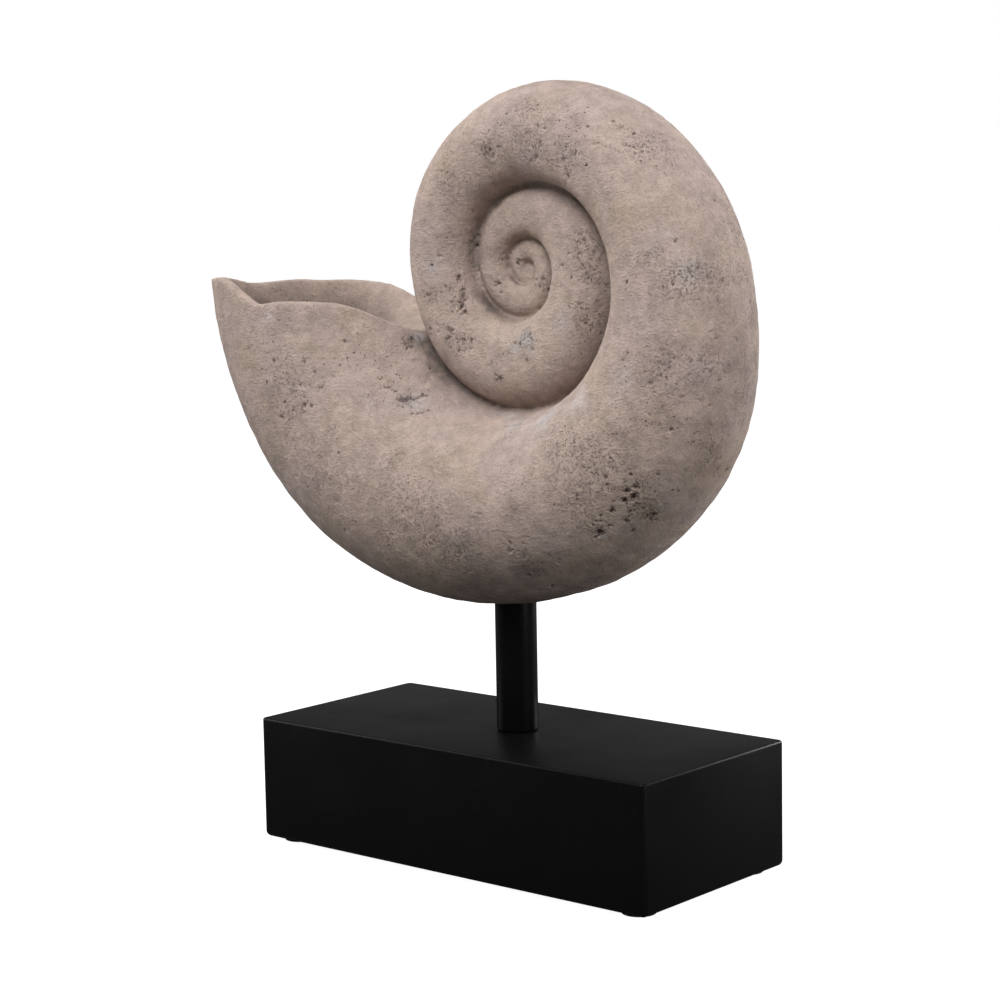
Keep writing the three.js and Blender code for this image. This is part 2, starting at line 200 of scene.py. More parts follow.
shellShape = {
    "poleBesideRod": 15.3,     # the whorls wind about this axis, beside the rod
    "poleAboveBlock": 280.7,   # above the block's underside
    "sides": 72,
    "stepsPerTurn": 72,
    "overlap": 0.99,           # how far a whorl sits down on the one inside it
    "budRadius": 4.5,
    "wallAtTip": 9,
    "wallAtSides": 3.6,
    "wallAtCoil": 12,
    "coilRamp": 46,            # how far the hollow draws back from the coil, and over how many turns
    "rampTurns": 0.02,
    "hollowTurns": 0.15,
    "hollowSteps": 20,
    "lipBlend": 0.16,
    "fullness": 0.3,           # how far the inner whorls are filled out towards square
    "seamFullness": 1.4,       # the same on the side of every whorl that goes down to its seam
    "fillRange": (-0.75, 0.3),   # the turn from which they fill out, and over how many turns
    "seamFillRange": (-0.3, 0.25),
    "hollowEnd": 0.3,          # size that the hollow's blunt end shrinks to
    "voxel": 1.08,
    "most": 196000,            # triangles that the finished shell is thinned to
    # turns back from the mouth, outer edge from the pole, half width
    "stations": [
        (-3.5, 5.3, 4.6),
        (-3.0, 10.8, 6.4),
        (-2.5, 19.3, 9.0),
        (-2.0, 28.8, 11.4),
        (-1.75, 38.6, 14.2),
        (-1.5, 59.0, 19.0),
        (-1.25, 65.8, 21.8),
        (-1.0, 69.4, 21.8),
        (-0.75, 84.7, 25.5),
        (-0.5, 113.3, 33.8),
        (-0.375, 138.2, 43.0),
        (-0.25, 157.6, 52.0),
        (-0.125, 182.3, 56.0),
        (0.0, 199.5, 52.3),
    ],
    # degrees round the mouth from its outer edge by the front, and the lip's drop there
    "lipDrops": [
        (0, 8), (10, 6.3), (22, 5), (45, 5), (58, 3.9), (66, 5), (74, 8.2), (82, 12.2), (88, 16.2),
        (92, 16.6), (98, 15.5), (110, 15), (120, 15.4), (132, 16.4), (145, 20.2), (160, 26.4),
        (178, 30), (200, 27.5), (228, 25), (245, 21.6), (258, 17.3), (270, 12.2), (280, 9.4),
        (292, 8.4), (312, 8), (322, 7.2), (335, 7.8), (348, 8.5), (360, 8),
    ],
    # where the near lip is worn down to a soft shoulder beside the coil
    "shoulder": {"turn": 0, "degrees": 158, "reach": 27, "strokes": 120, "strength": 0.9},
    # lumps of the cast skin: name, size, height, in mm
    "lumps": [
        ("broad lumps", 45, 1.2),
        ("hand lumps", 15, 0.6),
        ("small lumps", 5, 0.3),
    ],
    "pits": {
        "seed": 4,
        "darkFrom": 0.7,       # pits this deep are at their darkest
        "fineMargin": 0.4,     # the faces are made finer this far round a pit
        "raggedness": 0.9,
        # swarms: turn, degrees round the whorl, spread, how many, size
        "swarms": [
            (-0.77, 102, 5, 14, 0.8), (-0.685, 111, 4, 10, 0.8), (-0.635, 105, 6, 14, 0.8),
            (-0.6, 40, 7, 12, 0.7), (-0.71, 80, 12, 14, 0.6), (-0.85, 100, 9, 14, 0.6),
            (-0.935, 156, 4, 10, 0.8), (-1.05, 130, 4, 9, 1.3), (-1.08, 124, 4, 7, 1.2),
            (-1.045, 84, 3, 8, 0.8), (-1.12, 90, 5, 22, 0.9), (-1.145, 105, 3, 5, 1.1),
            (-1.3, 117, 3.5, 10, 1.1), (-1.235, 75, 1.5, 3, 0.9), (-2.425, 102, 2.5, 7, 1.0),
            (-2.065, 114, 2, 5, 0.9), (-2.885, 114, 1, 3, 1.1), (-1.915, 132, 2.5, 7, 0.6),
            (-2.42, 51, 3, 9, 0.8), (-1.535, 66, 7, 26, 0.7), (-1.49, 69, 4, 10, 0.8),
            (-1.43, 69, 6, 24, 0.8), (-0.51, 78, 3, 5, 0.8), (-0.495, 51, 7, 18, 0.6),
            (-0.495, 24, 8, 16, 0.6), (-0.435, 66, 10, 34, 0.7), (-0.445, 30, 8, 20, 0.7),
            (-0.135, 141, 4, 6, 0.6), (-0.03, 159, 3, 12, 1.0), (-0.06, 100, 12, 30, 0.6),
            (-0.08, 90, 8, 14, 0.7), (-0.36, 50, 8, 16, 1.0), (-0.355, 30, 5, 10, 1.1),
            (-0.33, 48, 4, 9, 1.2), (-0.37, 78, 12, 26, 0.6), (-0.34, 111, 10, 12, 0.5),
            (-0.28, 51, 8, 26, 0.8), (-0.33, 70, 10, 20, 0.6), (-0.4, 15, 10, 18, 0.6),
            (-0.2, 90, 20, 26, 0.6), (-0.13, 80, 14, 16, 0.6), (-0.24, 70, 16, 20, 0.6),
            (-0.35, 90, 9, 22, 0.7),
        ],
        # the back carries the same swarms, further round and thinner
        "backShift": -0.035,
        "backShare": 0.6,
        "backSpread": 1.3,
        # single holes: turn, degrees, size
        "holes": [
            (-0.74, 69, 0.8), (-0.73, 63, 0.6), (-0.705, 60, 0.7), (-0.69, 84, 0.9), (-0.68, 84, 0.7),
            (-0.67, 72, 0.6), (-0.64, 63, 0.8), (-0.63, 42, 1.0), (-0.61, 36, 0.9), (-0.83, 78, 0.6),
            (-0.88, 111, 0.6), (-0.865, 141, 0.5), (-0.975, 114, 0.8), (-0.995, 99, 1.0),
            (-1.485, 99, 0.8), (-0.49, 105, 0.9), (-0.52, 51, 0.8), (-0.545, 0, 0.8), (-0.425, 72, 0.8),
            (-0.005, 102, 0.6), (-0.01, 98, 0.6), (-0.04, 129, 1.0), (-0.04, 93, 1.0), (-0.05, 108, 0.8),
            (-0.06, 111, 0.8), (-0.065, 102, 0.8), (-0.075, 111, 0.8), (-0.055, 84, 0.8),
            (-0.045, 84, 0.7), (-0.07, 90, 1.0), (-0.08, 99, 1.2), (-0.085, 102, 0.9), (-0.08, 84, 1.1),
            (-0.13, 99, 0.8), (-0.09, 162, 0.9), (-0.36, 54, 1.4), (-0.36, 48, 1.7), (-0.355, 51, 1.4),
            (-0.345, 54, 1.2), (-0.345, 42, 1.1), (-0.355, 30, 1.7), (-0.33, 48, 2.0),
            (-0.245, 30, 1.0), (-0.405, 48, 0.9), (-0.37, 75, 0.8), (-0.335, 75, 0.8),
            (-0.385, 348, 1.1),
        ],
        # cracks: half width, depth, then the places they run through
        "cracks": [
            (0.8, 1.3, (-0.131, 140), (-0.136, 144)),
            (0.5, 1.1, (-0.136, 144), (-0.14, 151)),
            (1.3, 1.4, (-0.129, 139), (-0.131, 140)),
            (0.45, 0.9, (-0.155, 138), (-0.165, 144)),
            (0.45, 0.9, (-0.105, 137), (-0.115, 140)),
            (0.4, 0.6, (-0.25, 147), (-0.28, 149)),
            (0.5, 0.9, (-1.235, 77), (-1.24, 72)),
            (0.4, 0.5, (-0.625, 72), (-0.6, 60)),
            (0.5, 0.9, (-0.4, 250), (-0.42, 243)),
            (0.5, 0.9, (-0.18, 262), (-0.19, 252)),
        ],
    },
    # soft patches: each its turn, degrees, reach and strength
    "stains": {
        # these patches are partly grime and partly painted shade: under the shell, inside the mouth, in
        # the notch where the lip meets the coil, and on the flank of the whorl beside the coil
        "grimeAndShade": [
            (-0.25, 0, 42, 0.75), (-0.3, 18, 26, 0.35), (-0.355, 40, 13, 0.4), (-0.28, 51, 12, 0.35),
            (-0.065, 82, 11, 0.25), (-0.29, 90, 7, 0.3), (-0.03, 161, 5, 0.6), (-0.07, 166, 7, 0.35),
            (-0.405, 84, 6, 0.25), (-0.77, 102, 6, 0.25), (-1.43, 62, 9, 0.3), (-1.55, 60, 9, 0.25),
            (-0.035, 168, 5, 0.7), (0, 140, 6, 0.3), (0, 148, 6, 0.35), (0, 157, 6, 0.35),
            (-0.01, 300, 7, 0.3), (-0.005, 288, 6, 0.35), (-0.015, 276, 8, 0.3),
        ],
        "chalk": [
            (-1.3, 117, 7, 0.9), (-1.27, 110, 5, 0.6), (-0.02, 166, 5, 1.1), (-0.14, 143, 12, 0.4),
            (-0.32, 140, 14, 0.8), (-0.27, 148, 9, 0.7), (-0.37, 125, 12, 0.6), (-0.25, 160, 6, 0.8),
            (-0.225, 163, 5, 0.7),
            (-0.01, 96, 4, 0.6), (-1.4, 95, 8, 0.5), (-0.42, 95, 10, 0.35), (-0.5, 45, 10, 0.35),
            (-0.36, 28, 4, 0.6), (-0.33, 44, 3, 0.7), (-1.0, 100, 7, 0.4), (-0.3, 230, 16, 0.4),
        ],
        "tan": [
            (-0.04, 75, 22, 0.6), (-0.09, 66, 25, 0.5), (-0.7, 60, 20, 0.4), (-0.85, 75, 14, 0.6),
            (-0.385, 0, 20, 0.5), (-0.2, 300, 30, 0.5), (-1.25, 60, 10, 0.5), (-0.6, 290, 20, 0.5),
        ],
        "lilac": [
            (-0.44, 38, 18, 0.8), (-0.5, 30, 14, 0.6), (-0.14, 143, 14, 0.6), (-1.12, 88, 6, 0.6),
            (-0.3, 60, 25, 0.5), (-0.52, 62, 16, 0.5), (-0.4, 300, 25, 0.6),
        ],
    },
    # painted shade and dirt in the groove under a whorl: turn, reach inwards and outwards as shares of
    # radius, strength
    "seamShadeAndDirt": [
        (-1.0, 0.12, 0.03, 0.45), (-0.85, 0.08, 0.03, 0.2), (-0.7, 0.08, 0.03, 0.12),
        (-0.55, 0.2, 0.02, 0.5), (-0.4, 0.2, 0.02, 0.45), (-0.3, 0.12, 0.04, 0.15),
        (-0.2, 0.06, 0.04, 0.4), (-0.12, 0.045, 0.045, 0.85), (-0.08, 0.045, 0.05, 0.85),
        (-0.05, 0.05, 0.06, 0.3), (-0.035, 0.06, 0.05, 0), (0, 0.06, 0.05, 0),
    ],
}

pole = Vector((rodMiddle.x + shellShape["poleBesideRod"] * mm, 0,
               blockLow.z + shellShape["poleAboveBlock"] * mm))


# a smooth curve through rows of a table, read at one place
def smoothBetween(rows, column, place):
    last = len(rows) - 1
    i = 0
    while i < last - 1 and place > rows[i + 1][0]:
        i += 1

    def slope(k):
        before, after = rows[max(k - 1, 0)], rows[min(k + 1, last)]
        return (after[column] - before[column]) / (after[0] - before[0])

    span = rows[i + 1][0] - rows[i][0]
    t = (place - rows[i][0]) / span
    rise = t * t * (3 - 2 * t)
    bend = t * (1 - t) * ((1 - t) * slope(i) - t * slope(i + 1)) * span
    return rows[i][column] * (1 - rise) + rows[i + 1][column] * rise + bend


firstTurn = shellShape["stations"][0][0]
logStations = [(turn, math.log(rim * mm), math.log(half * mm))
               for turn, rim, half in shellShape["stations"]]


def rimAt(turn):
    first = logStations[0]
    if turn < first[0]:
        second = logStations[1]
        growth = (second[1] - first[1]) / (second[0] - first[0])
        return math.exp(first[1] + growth * (turn - first[0]))
    return math.exp(smoothBetween(logStations, 1, turn))


# the whorl's oval at a turn: middle from the pole, half height, half width
def ovalAt(turn):
    outer = rimAt(turn)
    inner = shellShape["overlap"] * rimAt(turn - 1)
    return (outer + inner) / 2, (outer - inner) / 2, math.exp(smoothBetween(logStations, 2, turn))


# the mouth's hollow at a turn, at a share of its walls; its coil side slopes away as a ramp
def hollowAt(turn, share):
    middle, reach, half = ovalAt(turn)
    tip, sides, coil = (shellShape[k] * mm * share for k in ("wallAtTip", "wallAtSides", "wallAtCoil"))
    coil += shellShape["coilRamp"] * mm * math.tanh(-turn / shellShape["rampTurns"])
    left = reach - (coil + tip) / 2
    return middle + (coil - tip) / 2, left, (half - sides) * math.sqrt(left / (reach - tip))


def directionAt(turn):
    angle = math.pi - 2 * math.pi * turn
    return Vector((math.cos(angle), 0, math.sin(angle)))


# pulls out a new ring from the last and brings it to its turn and oval
def nextRing(ringNow, turn, oval):
    lastTurn, middle, reach, half = ringNow
    newMiddle, newReach, newHalf = oval
    bpy.ops.mesh.extrude_region()
    bpy.ops.transform.rotate(value=-2 * math.pi * (turn - lastTurn), orient_axis="Y",
                             center_override=pole)
    outward = newMiddle / middle
    bpy.ops.transform.resize(value=(outward, 1, outward), center_override=pole)
    taller = newReach / (reach * outward)
    ringMiddle = pole + directionAt(turn) * newMiddle
    bpy.ops.transform.resize(value=(taller, newHalf / half, taller), center_override=ringMiddle)
    return turn, newMiddle, newReach, newHalf


def growWhorls():
    shape = shellShape
    turn = firstTurn
    middle, reach, half = ovalAt(turn)
    start = pole + directionAt(turn) * middle
    shell = startPiece(bpy.ops.mesh.primitive_circle_add, "stone_shell", vertices=shape["sides"],
                       radius=1, fill_type="NGON", location=start)
    applyPlace(shell)
    openEdit(shell, "FACE")
    bpy.ops.mesh.select_all(action="SELECT")
    bpy.ops.transform.resize(value=(reach, half, 1), center_override=start)
    ringNow = (turn, middle, reach, half)
    steps = round(-turn * shape["stepsPerTurn"])
    for i in range(1, steps + 1):
        nextTurn = turn * (1 - i / steps)
        ringNow = nextRing(ringNow, nextTurn, ovalAt(nextTurn))
    ringNow = nextRing(ringNow, 0, hollowAt(0, 0.5))
    for i in range(shape["hollowSteps"] + 1):
        share = i / shape["hollowSteps"]
        nextTurn = -shape["hollowTurns"] * share
        middle, reach, half = hollowAt(nextTurn, 1)
        size = shape["hollowEnd"] + (1 - shape["hollowEnd"]) * math.sqrt(1 - share ** 3)
        ringNow = nextRing(ringNow, nextTurn, (middle, reach * size, half * size))
    closeEdit()
    return shell


# the lean of the mouth's last stretch, so that it ends on the uneven line of its lip
def leanAt(turn, radius, degrees):
    share = max(0, 1 + turn / shellShape["lipBlend"])
    drop = smoothBetween(shellShape["lipDrops"], 1, degrees % 360) * mm
    return math.asin(min(drop / radius, 1)) * share


# a point of the stone's skin, from its turn and its degrees round the whorl
def skinPoint(turn, degrees):
    middle, reach, half = ovalAt(turn)
    around = math.radians(degrees)
    radius = middle + reach * math.cos(around)
    away = directionAt(turn) * radius + Vector((0, -half * math.sin(around), 0))
    return pole + Matrix.Rotation(-leanAt(turn, radius, degrees), 3, "Y") @ away


def leanLip(shell, firstVertex):
    for vertex in shell.data.vertices[firstVertex:]:
        away = vertex.co - pole
        radius = math.hypot(away.x, away.z)
        turn = ((math.pi - math.atan2(away.z, away.x)) / (2 * math.pi) + 0.1) % 1 - 0.1
        turn = turn - 1 if turn > 0.5 else turn
        middle, reach, half = ovalAt(min(turn, 0))
        degrees = math.degrees(math.atan2(-away.y / half, (radius - middle) / reach))
        vertex.co = pole + Matrix.Rotation(-leanAt(min(turn, 0), radius, degrees), 3, "Y") @ away


# fills the whorls out towards square beside their seams, so that they stand up from their grooves
def fillWhorls(shell):
    shape = shellShape
    sides = shape["sides"]
    steps = round(-firstTurn * shape["stepsPerTurn"])

    def shareIn(turn, fillRange):
        start, length = fillRange
        return min(1, max(0, (start - turn) / length))

    for ring in range(steps + 1):
        turn = firstTurn * (1 - ring / steps)
        evenPower = 2 + shape["fullness"] * shareIn(turn, shape["fillRange"])
        seamPower = shape["seamFullness"] * shareIn(turn, shape["seamFillRange"])
        middle, reach, half = ovalAt(turn)
        ringMiddle = pole + directionAt(turn) * middle
        for vertex in shell.data.vertices[ring * sides:(ring + 1) * sides]:
            away = vertex.co - ringMiddle
            along = away.dot(directionAt(turn)) / reach
            across = abs(away.y) / half
            power = evenPower + seamPower * max(0, -along)
            vertex.co = ringMiddle + away * (abs(along) ** power + across ** power) ** (-1 / power)


# brings the roughened stone back inside the cast's size
def fitInside(shell, node):
    low, high = nodeBox[node]
    start, end = ([pick(vertex.co[i] for vertex in shell.data.vertices) for i in range(3)]
                  for pick in (min, max))
    size = [min(1, (high[i] - low[i]) / (end[i] - start[i])) for i in range(3)]
    middle = [(start[i] + end[i]) / 2 for i in range(3)]
    openEdit(shell)
    bpy.ops.mesh.select_all(action="SELECT")
    bpy.ops.transform.resize(value=size, center_override=middle)
    # centred along and across, with its top at the cast's top
    top = middle[2] + size[2] * (end[2] - middle[2])
    bpy.ops.transform.translate(value=((low[0] + high[0]) / 2 - middle[0],
                                       (low[1] + high[1]) / 2 - middle[1], high[2] - top))
    closeEdit()


# smooths away the edge where the lip runs down to the coil, as a worn shoulder
def wearShoulder(shell):
    wear = shellShape["shoulder"]
    middle = skinPoint(wear["turn"], wear["degrees"])
    group = shell.vertex_groups.new(name="shoulder")
    for vertex in shell.data.vertices:
        away = (vertex.co - middle).length / (wear["reach"] * mm)
        if away < 1:
            group.add([vertex.index], 1 - away ** 2, "REPLACE")
    runModifier(shell, "SMOOTH", factor=wear["strength"], iterations=wear["strokes"],
                vertex_group="shoulder")
    shell.vertex_groups.clear()


def roughenStone(shell):
    for name, scale, strength in shellShape["lumps"]:
        clouds = bpy.data.textures.new(name, "CLOUDS")
        clouds.noise_scale = scale * mm
        clouds.noise_depth = 2
        runModifier(shell, "DISPLACE", texture=clouds, texture_coords="LOCAL",
                    strength=strength * mm, mid_level=0.5)


def meshTree(mesh):
    tree = KDTree(len(mesh.vertices))
    for vertex in mesh.vertices:
        tree.insert(vertex.co, vertex.index)
    tree.balance()
    return tree


# the front's swarms of pits, and the back's
def allSwarms():
    pits = shellShape["pits"]
    back = [(turn + pits["backShift"], 360 - degrees, spread * pits["backSpread"],
             round(count * pits["backShare"]), size)
            for turn, degrees, spread, count, size in pits["swarms"]]
    return pits["swarms"] + back


# where every pit goes: its place, its long direction, its radius, stretch and depth
def planPits(shell):
    draw = random.Random(shellShape["pits"]["seed"])
    tree = meshTree(shell.data)
    pits = []

    def addPit(place, along, radius, stretch, depth):
        place, index, gap = tree.find(place)
        pits.append((place.copy(), shell.data.vertices[index].normal.copy(), along, radius * mm,
                     stretch, depth * mm))

    for turn, degrees, spread, count, size in allSwarms():
        middle = skinPoint(turn, degrees)
        for i in range(count):
            away = Vector([draw.gauss(0, spread * mm) for k in range(3)])
            along = Vector([draw.uniform(-1, 1) for k in range(3)]).normalized()
            radius = size * draw.uniform(0.3, 0.85)
            addPit(middle + away, along, radius, draw.uniform(1, 2.2), radius * draw.uniform(0.6, 1.2))
    for turn, degrees, size in shellShape["pits"]["holes"]:
        along = Vector([draw.uniform(-1, 1) for k in range(3)]).normalized()
        addPit(skinPoint(turn, degrees), along, size * 0.85, draw.uniform(1, 1.6), size)
    for width, depth, *places in shellShape["pits"]["cracks"]:
        stops = [skinPoint(turn, degrees) for turn, degrees in places]
        for start, end in zip(stops, stops[1:]):
            steps = max(2, round((end - start).length / (0.8 * mm)))
            for i in range(steps + 1):
                sway = Vector([draw.gauss(0, 0.25 * mm) for k in range(3)])
                addPit(start.lerp(end, i / steps) + sway, (end - start).normalized(),
                       width * draw.uniform(0.7, 1.2), 1.8, depth * draw.uniform(0.6, 1))
    return pits


# finer faces round the pits, so that their edges come out crisp
def refineRound(shell, pits, margin):
    tree = KDTree(len(pits))
    for i, pit in enumerate(pits):
        tree.insert(pit[0], i)
    tree.balance()
    widest = max(pit[3] * pit[4] for pit in pits) + margin * mm

    def nearPit(face):
        return any(gap < pits[i][3] * pits[i][4] + margin * mm
                   for place, i, gap in tree.find_range(face.center, widest))

    pickPiece(shell)
    pickParts(shell, "FACE", nearPit)
    bpy.ops.mesh.subdivide(number_cuts=1, smoothness=0)
    closeEdit()


# how deep each point of the mesh lies in a pit
def depthsInPits(mesh, pits):
    raggedness = shellShape["pits"]["raggedness"]
    tree = meshTree(mesh)
    depths = {}
    for place, out, along, radius, stretch, depth in pits:
        side = along.cross(out).normalized()
        along = out.cross(side)
        for co, i, gap in tree.find_range(place, radius * stretch * 1.3 + depth):
            away = co - place
            ragged = 1 + raggedness * noise.noise(co / (0.7 * mm))
            across = math.hypot(away.dot(along) / stretch, away.dot(side)) / radius * ragged
            if across < 1:
                depths[i] = max(depths.get(i, 0), depth * (1 - across ** 2.5))
    return depths


def sinkPits(shell, pits):
    mesh = shell.data
    depths = depthsInPits(mesh, pits)
    outward = {i: mesh.vertices[i].normal.copy() for i in depths}
    for i, depth in depths.items():
        mesh.vertices[i].co -= outward[i] * depth
    mesh.update()


# paints shade into the pits, darker the deeper they lie, with some dirt
def shadePits(shell, pits):
    shade = shell.data.attributes.new("pit", "FLOAT", "POINT")
    for i, depth in depthsInPits(shell.data, pits).items():
        shade.data[i].value = min(1, depth / (shellShape["pits"]["darkFrom"] * mm))


# a point's radius from the pole, and its turn on the outermost whorl
def placeOnSpiral(point):
    away = point - pole
    turn = (math.pi - math.atan2(away.z, away.x)) / (2 * math.pi) % 1 - 1
    return math.hypot(away.x, away.z), turn


# paints shade into the inside of the mouth, more so the further it lies under the lip and out at its tip
def shadeHollow(shell):
    layer = shell.data.attributes.new("hollow", "FLOAT", "POINT")
    for vertex in shell.data.vertices:
        radius, turn = placeOnSpiral(vertex.co)
        middle, reach, half = ovalAt(turn)
        along, across = (radius - middle) / reach, -vertex.co.y / half
        inside = 1 - math.hypot(along, across)
        if turn > -0.2 and inside > 0.04:
            degrees = math.degrees(math.atan2(across, along)) % 360
            drop = smoothBetween(shellShape["lipDrops"], 1, degrees)
            under = max(0, -turn * 2 * math.pi * radius / mm - drop)
            tipward = 0.65 + 0.35 * along / math.hypot(along, across)
            shade = min(1, (inside - 0.04) * 12) * min(1, 0.2 + under / 16) * tipward
            layer.data[vertex.index].value = shade


# paints shade into the grooves between the whorls, with some dirt, darkest along each seam
def shadeSeams(shell):
    shadeAndDirt = shellShape["seamShadeAndDirt"]
    layer = shell.data.attributes.new("seam", "FLOAT", "POINT")
    for vertex in shell.data.vertices:
        radius, turn = placeOnSpiral(vertex.co)
        inward, outward, strength = (smoothBetween(shadeAndDirt, column, turn) for column in (1, 2, 3))
        for whorl in (1, 2, 3):
            groove = rimAt(turn - whorl)
            gap = (radius / groove - 1) / (inward if radius < groove else outward)
            gap *= 1 + 0.7 * noise.noise(vertex.co / (3 * mm))
            layer.data[vertex.index].value += strength * math.exp(-gap ** 2)


# paints a soft patch of stain, of grime and painted shade, or of chalk into the skin, for the stone
# finish to read
def paintStains(shell):
    mesh = shell.data
    places = [vertex.co.copy() for vertex in mesh.vertices]
    worn = [(turn, degrees, spread * 2, 0.75 if spread < 8 else 0.4)
            for turn, degrees, spread, count, size in allSwarms()]
    for name, patches in (*shellShape["stains"].items(), ("worn", worn)):
        layer = mesh.attributes.new(name, "FLOAT", "POINT")
        amount = [0.0] * len(places)
        for turn, degrees, reach, strength in patches:
            middle = skinPoint(turn, degrees)
            for i, place in enumerate(places):
                gap = (place - middle).length / (reach * mm)
                if gap < 1.6:
                    gap *= 1 + 0.6 * noise.noise(place / (0.4 * reach * mm))
                    amount[i] += strength * math.exp(-3 * gap ** 2)
        layer.data.foreach_set("value", amount)


# a round bud closes the middle of the spiral
def addBud(shell):
    bud = startPiece(bpy.ops.mesh.primitive_uv_sphere_add, "bud", location=pole,
                     radius=shellShape["budRadius"] * mm, segments=24, ring_count=16)
    applyPlace(bud)
    pickPiece(shell)
    bud.select_set(True)
    bpy.ops.object.join()


def drillSocket(shell):
    depth = rodShape["intoShell"] * mm
    top = rodHigh.z + rodShape["gap"] * mm
    drill = startPiece(bpy.ops.mesh.primitive_cylinder_add, "drill", vertices=64, depth=depth,
                       radius=rodShape["socket"] / 2 * mm,
                       location=(rodMiddle.x, rodMiddle.y, top - depth / 2))
    cutAway(shell, drill)


def makeShell():
    shape = shellShape
    shell = growWhorls()
    fillWhorls(shell)
    ringsBeforeLip = round(-firstTurn * shape["stepsPerTurn"])
    blendRings = round(shape["lipBlend"] * shape["stepsPerTurn"])
    leanLip(shell, (ringsBeforeLip - blendRings) * shape["sides"])
    addBud(shell)
    print("whorls grown:", len(shell.data.vertices), "points")
    runModifier(shell, "REMESH", mode="VOXEL", voxel_size=shape["voxel"] * mm)
    runModifier(shell, "SMOOTH", factor=0.5, iterations=2)
    wearShoulder(shell)
    roughenStone(shell)
    fitInside(shell, "shell")
    print("whorls merged:", len(shell.data.polygons), "faces")
    pits = planPits(shell)
    refineRound(shell, pits, shape["pits"]["fineMargin"])
    sinkPits(shell, pits)
    print("pits sunk:", len(pits), "in", len(shell.data.polygons), "faces")
    drillSocket(shell)
    runModifier(shell, "TRIANGULATE")
    runModifier(shell, "DECIMATE", ratio=min(1, shape["most"] / len(shell.data.polygons)))
    print("shell thinned to", len(shell.data.polygons), "triangles")
    shadePits(shell, pits)
    shadeHollow(shell)
    shadeSeams(shell)
    paintStains(shell)
    print("stains painted")
    pickPiece(shell)
    bpy.ops.object.shade_smooth()
    shell.data.materials.append(castStone())
    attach(shell, "root")
    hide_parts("shell")


blockShape = {
    "topEdge": 1.1,
    "otherEdges": 2.9,
    "recess": 26,        # round recess underneath, for the screw's head
    "recessDepth": 14,
    "screwHole": 9,
    "gloss": 0.33,       # roughness of its paint
}


def onTopRim(a, b):
    inset = 0.1 * mm
    across = (a + b) / 2
    return min(a.z, b.z) > blockHigh.z - inset and min(
        across.x - blockLow.x, blockHigh.x - across.x,
        across.y - blockLow.y, blockHigh.y - across.y) < blockShape["otherEdges"] * mm


def makeBlock():
    shape = blockShape
    block = startPiece(bpy.ops.mesh.primitive_cube_add, "black_block", size=1,
                       location=(blockLow + blockHigh) / 2)
    block.scale = blockHigh - blockLow
    applyPlace(block)
    bevelEdges(block, shape["otherEdges"], 5, lambda a, b: min(a.z, b.z) < blockHigh.z - mm)
    bevelEdges(block, shape["topEdge"], 4, onTopRim)
    # the recess underneath and the screw's hole, cut in one
    recess, hole = shape["recess"] / 2 * mm, shape["screwHole"] / 2 * mm
    depth, below = shape["recessDepth"] * mm, 1 * mm
    drill = startPiece(bpy.ops.mesh.primitive_cylinder_add, "drill", radius=recess, vertices=64,
                       depth=depth + below,
                       location=(rodMiddle.x, 0, blockLow.z + (depth - below) / 2))
    applyPlace(drill)
    pickParts(drill, "FACE", lambda face: face.normal.z > 0.9)
    bpy.ops.mesh.inset(thickness=recess - hole)
    raiseFaces(blockHigh.z - blockLow.z)
    closeEdit()
    cutAway(block, drill)
    finishPiece(block, "base_block", blackPaint("block paint", shape["gloss"]))


rodShape = {
    "socket": 20.6,          # width of the shell's blind hole for it
    "intoShell": 40.6,
    "gap": 0.3,              # left above its end
    "edge": 0.8,
    "screwHole": 8.8,
    "screwHoleDepth": 23,
    "gloss": 0.3,
}


def makeRod():
    shape = rodShape
    radius = (rodHigh.x - rodLow.x) / 2
    rod = startPiece(bpy.ops.mesh.primitive_cylinder_add, "black_rod", radius=radius,
                     depth=rodHigh.z - rodLow.z, vertices=96, location=rodMiddle)
    applyPlace(rod)
    pickParts(rod, "FACE", lambda face: face.normal.z < -0.9)
    holeRadius = shape["screwHole"] / 2 * mm
    bpy.ops.mesh.inset(thickness=radius - holeRadius)
    raiseFaces(shape["screwHoleDepth"] * mm)
    closeEdit()

    def onRim(a, b):
        nearest = min(flatDistance(end, rodMiddle) for end in (a, b))
        return abs(a.z - b.z) < mm and nearest > radius - 0.1 * mm

    bevelEdges(rod, shape["edge"], 3, onRim)
    finishPiece(rod, "rod", blackPaint("rod paint", shape["gloss"]))


washerShape = {"hole": 9, "edge": 0.25}


def makeWasher():
    low, high = nodeBox["washer"]
    radius = (high.x - low.x) / 2
    washer = startPiece(bpy.ops.mesh.primitive_cylinder_add, "flat_washer", radius=radius,
                        depth=high.z - low.z, vertices=64, location=(low + high) / 2)
    applyPlace(washer)
    holeRadius = washerShape["hole"] / 2 * mm
    pickParts(washer, "FACE", lambda face: abs(face.normal.z) > 0.9)
    bpy.ops.mesh.inset(thickness=radius - holeRadius)
    bpy.ops.mesh.bridge_edge_loops()
    closeEdit()
    bevelEdges(washer, washerShape["edge"], 2, lambda a, b: abs(a.z - b.z) < 0.1 * mm)
    finishPiece(washer, "washer", zincPlate("washer plate"))


screwShape = {
    "shank": 8,
    "head": 13,
    "headHeight": 8,
    "headEdge": 0.7,
    "key": 6,
    "keyDepth": 4,
    "tipEdge": 1.0,
}


